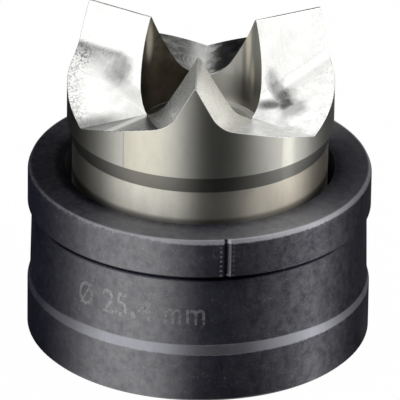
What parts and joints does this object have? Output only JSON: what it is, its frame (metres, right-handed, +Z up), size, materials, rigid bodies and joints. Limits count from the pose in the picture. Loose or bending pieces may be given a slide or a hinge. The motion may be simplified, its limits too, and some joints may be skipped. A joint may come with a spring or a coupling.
{
  "type": "sheet metal hole punch",
  "caption": "Draw-stud hole punch for sheet metal: a toothed round steel punch standing in its collared, flanged black die.",
  "frame": {"origin": "centre of the die's flat base, where the tool stands on the bench", "axes": "+Z up along the common axis of die, punch and draw stud; the first tooth of the punch points along -Y"},
  "size_m": [0.0328, 0.0328, 0.0309],
  "materials": {
    "ground_steel": "hardened steel, turned body and bright milled teeth",
    "black_oxide_steel": "black oxide over turned steel, edges rubbed grey"
  },
  "bodies": {
    "die": {"die": "black_oxide_steel"},
    "punch": {"punch": "ground_steel"}
  },
  "joints": [
    {"name": "punch_lift", "type": "slide", "parent": "die", "child": "punch", "axis": [0, 0, 1], "range_m": [0, 0.015]}
  ]
}
